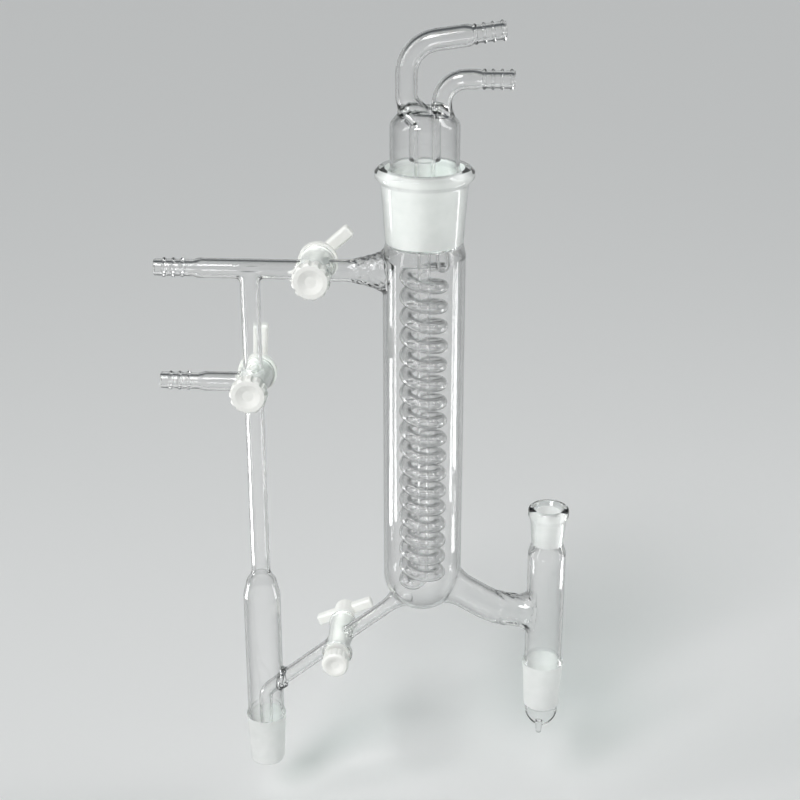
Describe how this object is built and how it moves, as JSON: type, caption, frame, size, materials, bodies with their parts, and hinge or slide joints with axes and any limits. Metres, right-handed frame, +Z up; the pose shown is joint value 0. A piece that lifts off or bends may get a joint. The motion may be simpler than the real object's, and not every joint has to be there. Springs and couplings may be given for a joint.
{
  "type": "distillation head",
  "caption": "Glass distillation head with a coil condenser, a column for a thermometer and white stopcocks on its take-off and gas arms.",
  "frame": {"origin": "centre of the wide end of the column's ground cone", "axes": "+Z up along the column, +X from the receiver towards the column, +Y to the back, towards the stopcock handles"},
  "size_m": [0.2325, 0.0679, 0.4528],
  "materials": {
    "clear_glass": "clear borosilicate, frosted on ground joints",
    "white_plastic": "turned white fluoropolymer",
    "black_rubber": "moulded black rubber"
  },
  "bodies": {
    "head": {"glass_head": "clear_glass", "coil_condenser": "clear_glass"},
    "top_stopcock": {"top_stopcock_plug": "white_plastic", "top_stopcock_washer": "white_plastic", "top_stopcock_sealing_ring": "black_rubber", "top_stopcock_nut": "white_plastic"},
    "three_way_stopcock": {"three_way_stopcock_plug": "white_plastic", "three_way_stopcock_washer": "white_plastic", "three_way_stopcock_sealing_ring": "black_rubber", "three_way_stopcock_nut": "white_plastic"},
    "takeoff_stopcock": {"takeoff_stopcock_plug": "white_plastic", "takeoff_stopcock_washer": "white_plastic", "takeoff_stopcock_sealing_ring": "black_rubber", "takeoff_stopcock_nut": "white_plastic"}
  },
  "joints": [
    {"name": "top_stopcock_turn", "type": "hinge", "parent": "head", "child": "top_stopcock", "pos_m": [-0.132, 0, 0.242], "axis": [0, 1, 0], "continuous": true},
    {"name": "three_way_stopcock_turn", "type": "hinge", "parent": "head", "child": "three_way_stopcock", "pos_m": [-0.168, 0, 0.1755], "axis": [0, 1, 0], "continuous": true},
    {"name": "takeoff_stopcock_turn", "type": "hinge", "parent": "head", "child": "takeoff_stopcock", "pos_m": [-0.12168, 0, 0.01065], "axis": [0, 1, 0], "continuous": true}
  ]
}
